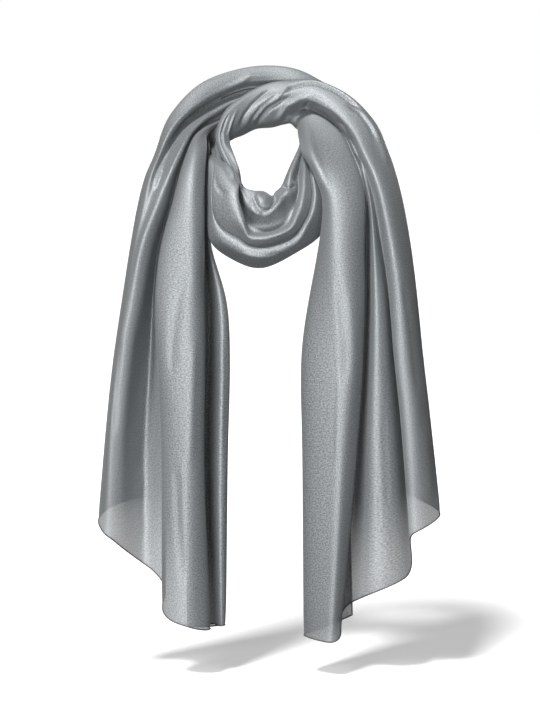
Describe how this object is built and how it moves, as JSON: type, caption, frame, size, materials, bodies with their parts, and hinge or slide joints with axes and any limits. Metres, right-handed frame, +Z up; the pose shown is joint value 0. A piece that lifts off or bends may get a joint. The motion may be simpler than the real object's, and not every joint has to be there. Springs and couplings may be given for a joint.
{
  "type": "scarf",
  "caption": "Long satin scarf wound once round an empty neck, crossed behind it, with both pleated ends hanging in front.",
  "frame": {"origin": "middle of the nape, on the front of the roll behind the neck, where the wearer holds the scarf up", "axes": "+Z up along the hanging ends, -Y to the front, +X to the right of someone facing the scarf"},
  "size_m": [0.4514, 0.2218, 0.7464],
  "materials": {
    "silk": "satin"
  },
  "bodies": {
    "root": {"left_tail": "silk", "neck_roll": "silk", "right_tail": "silk", "front_loop": "silk"}
  },
  "joints": []
}
